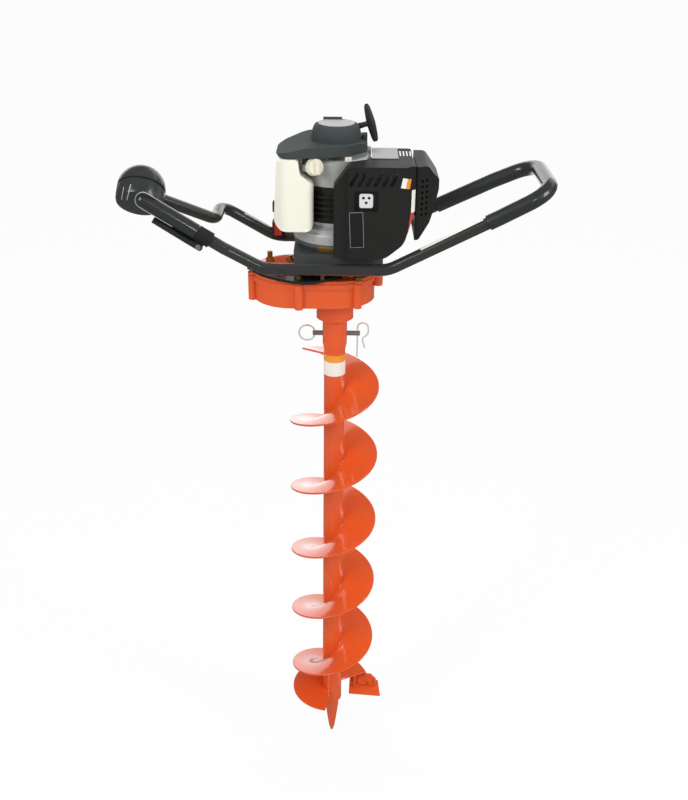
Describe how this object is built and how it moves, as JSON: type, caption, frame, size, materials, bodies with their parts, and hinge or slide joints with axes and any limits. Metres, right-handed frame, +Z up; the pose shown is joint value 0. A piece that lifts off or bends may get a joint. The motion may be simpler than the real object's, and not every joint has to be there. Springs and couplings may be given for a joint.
{
  "type": "earth auger",
  "caption": "One-man petrol earth auger: engine and gear case on a looped tube handle, driving a pinned screw auger with a cutter blade and pilot point.",
  "frame": {"origin": "tip of the pilot point, on the auger's axis", "axes": "+Z up the auger's axis towards the engine, +X to the right-hand loop, -Y to the operator's side shown in the picture"},
  "size_m": [0.783, 0.2263, 1.4423],
  "materials": {
    "orange_paint": "gloss orange enamel",
    "black_paint": "satin black enamel",
    "bright_steel": "bright machined steel",
    "gear_steel": "oiled gear steel",
    "zinc_brass": "yellow zinc",
    "cast_alloy": "die-cast alloy, unpainted",
    "grey_alloy": "die-cast alloy, slate grey coat",
    "dark_alloy": "die-cast alloy, painted dark",
    "black_plastic": "gloss black",
    "black_matte": "matt black",
    "grip_rubber": "smooth black rubber",
    "tank_plastic": "cream, slightly see-through",
    "cream_plastic": "cream",
    "red_plastic": "red",
    "badge_metal": "satin plate",
    "painted_gasket": "gasket sheet, its edge under the case paint",
    "rope_cord": "braided cord",
    "filter_foam": "open foam"
  },
  "bodies": {
    "machine": {"gear_case": "orange_paint", "gear_case_cover": "orange_paint", "case_gasket": "painted_gasket", "case_fasteners": "zinc_brass", "bearings": "gear_steel", "output_seal": "grip_rubber", "front_tube": "black_paint", "rear_tube": "black_paint", "right_grip": "grip_rubber", "left_grip": "grip_rubber", "lever_clamp": "black_plastic", "control_housing_lower": "black_plastic", "control_housing_upper": "black_plastic", "clamp_bolts": "bright_steel", "switch_base": "black_matte", "clutch_housing": "grey_alloy", "crankcase_lower": "cast_alloy", "crankcase_upper": "cast_alloy", "cylinder_block": "dark_alloy", "spark_plug": "black_matte", "muffler": "black_paint", "muffler_cover": "black_plastic", "exhaust_outlet": "bright_steel", "side_cover": "black_plastic", "carburettor": "cast_alloy", "air_filter": "filter_foam", "air_cleaner_cover": "black_plastic", "fuel_tank": "tank_plastic", "fan_cover": "black_plastic", "recoil_housing": "black_plastic", "starter_badge": "badge_metal", "recoil_spring": "gear_steel"},
    "auger": {"auger_tube": "orange_paint", "drive_socket": "orange_paint", "flighting": "orange_paint", "bottom_flight": "orange_paint", "cutter_bracket": "orange_paint", "cutter_blade": "orange_paint", "blade_bolts": "orange_paint", "pilot_point": "orange_paint", "output_shaft": "bright_steel", "output_gear": "gear_steel"},
    "pin": {"coupling_pin": "bright_steel", "pull_ring": "bright_steel"},
    "clip": {"hairpin_clip": "bright_steel"},
    "countershaft": {"counter_shaft": "gear_steel", "counter_gear": "gear_steel"},
    "input": {"clutch_drum": "gear_steel", "input_pinion": "gear_steel"},
    "crank": {"crankshaft": "gear_steel", "flywheel": "cast_alloy", "clutch_shoes": "gear_steel"},
    "pulley": {"starter_pulley": "black_matte", "starter_rope": "rope_cord"},
    "pull_handle": {"starter_handle": "black_matte"},
    "throttle": {"throttle_lever": "black_matte"},
    "stop": {"switch_rocker": "red_plastic"},
    "choke": {"choke_lever": "cream_plastic"},
    "oil_cap": {"oil_filler_cap": "cream_plastic"},
    "fuel_cap": {"fuel_cap": "black_matte"}
  },
  "joints": [
    {"name": "auger_spin", "type": "hinge", "parent": "machine", "child": "auger", "pos_m": [0, 0, 1.00536], "axis": [0, 0, 1], "continuous": true},
    {"name": "countershaft_spin", "type": "hinge", "parent": "machine", "child": "countershaft", "pos_m": [-0.08, 0, 1.10436], "axis": [0, 0, 1], "continuous": true},
    {"name": "input_spin", "type": "hinge", "parent": "machine", "child": "input", "pos_m": [0, 0, 1.14536], "axis": [0, 0, 1], "continuous": true},
    {"name": "crank_spin", "type": "hinge", "parent": "machine", "child": "crank", "pos_m": [0, 0, 1.22436], "axis": [0, 0, 1], "continuous": true},
    {"name": "pin_float", "type": "slide", "parent": "auger", "child": "pin", "axis": [1, 0, 0], "range_m": [-0.005, 0.012]},
    {"name": "clip_pull", "type": "slide", "parent": "pin", "child": "clip", "axis": [0, 0, 1], "range_m": [0, 0.05]},
    {"name": "starter_pull", "type": "slide", "parent": "machine", "child": "pull_handle", "axis": [0.9613, 0, 0.2756], "range_m": [0, 0.6], "stiffness_N_per_m": 8, "springref_m": -0.5},
    {"name": "pulley_spin", "type": "hinge", "parent": "machine", "child": "pulley", "pos_m": [0, 0, 1.39136], "axis": [0, 0, -1], "range_deg": [0, 1260]},
    {"name": "throttle_squeeze", "type": "hinge", "parent": "machine", "child": "throttle", "pos_m": [-0.24289, -0.096, 1.21176], "axis": [0, 1, 0], "range_deg": [0, 4], "stiffness_Nm_per_rad": 3, "springref_deg": -5.73},
    {"name": "stop_toggle", "type": "hinge", "parent": "machine", "child": "stop", "pos_m": [-0.112, 0.088, 1.18836], "axis": [1, 0, 0], "range_deg": [-15, 15]},
    {"name": "choke_turn", "type": "hinge", "parent": "machine", "child": "choke", "pos_m": [0.022, -0.044, 1.35636], "axis": [0, 0, 1], "range_deg": [0, 45]},
    {"name": "oil_cap_turn", "type": "hinge", "parent": "machine", "child": "oil_cap", "pos_m": [-0.048, -0.055, 1.34436], "axis": [0.5011, -0.8419, 0.2004], "range_deg": [0, 360]},
    {"name": "fuel_cap_turn", "type": "hinge", "parent": "machine", "child": "fuel_cap", "pos_m": [-0.086, 0.05, 1.29436], "axis": [0, 1, 0], "range_deg": [0, 120]}
  ],
  "couplings": [
    {"joint": "countershaft_spin", "follows": "auger_spin", "ratio": -3.9231},
    {"joint": "input_spin", "follows": "auger_spin", "ratio": 18.902},
    {"joint": "pulley_spin", "follows": "starter_pull", "rad_per_m": 36.63}
  ]
}
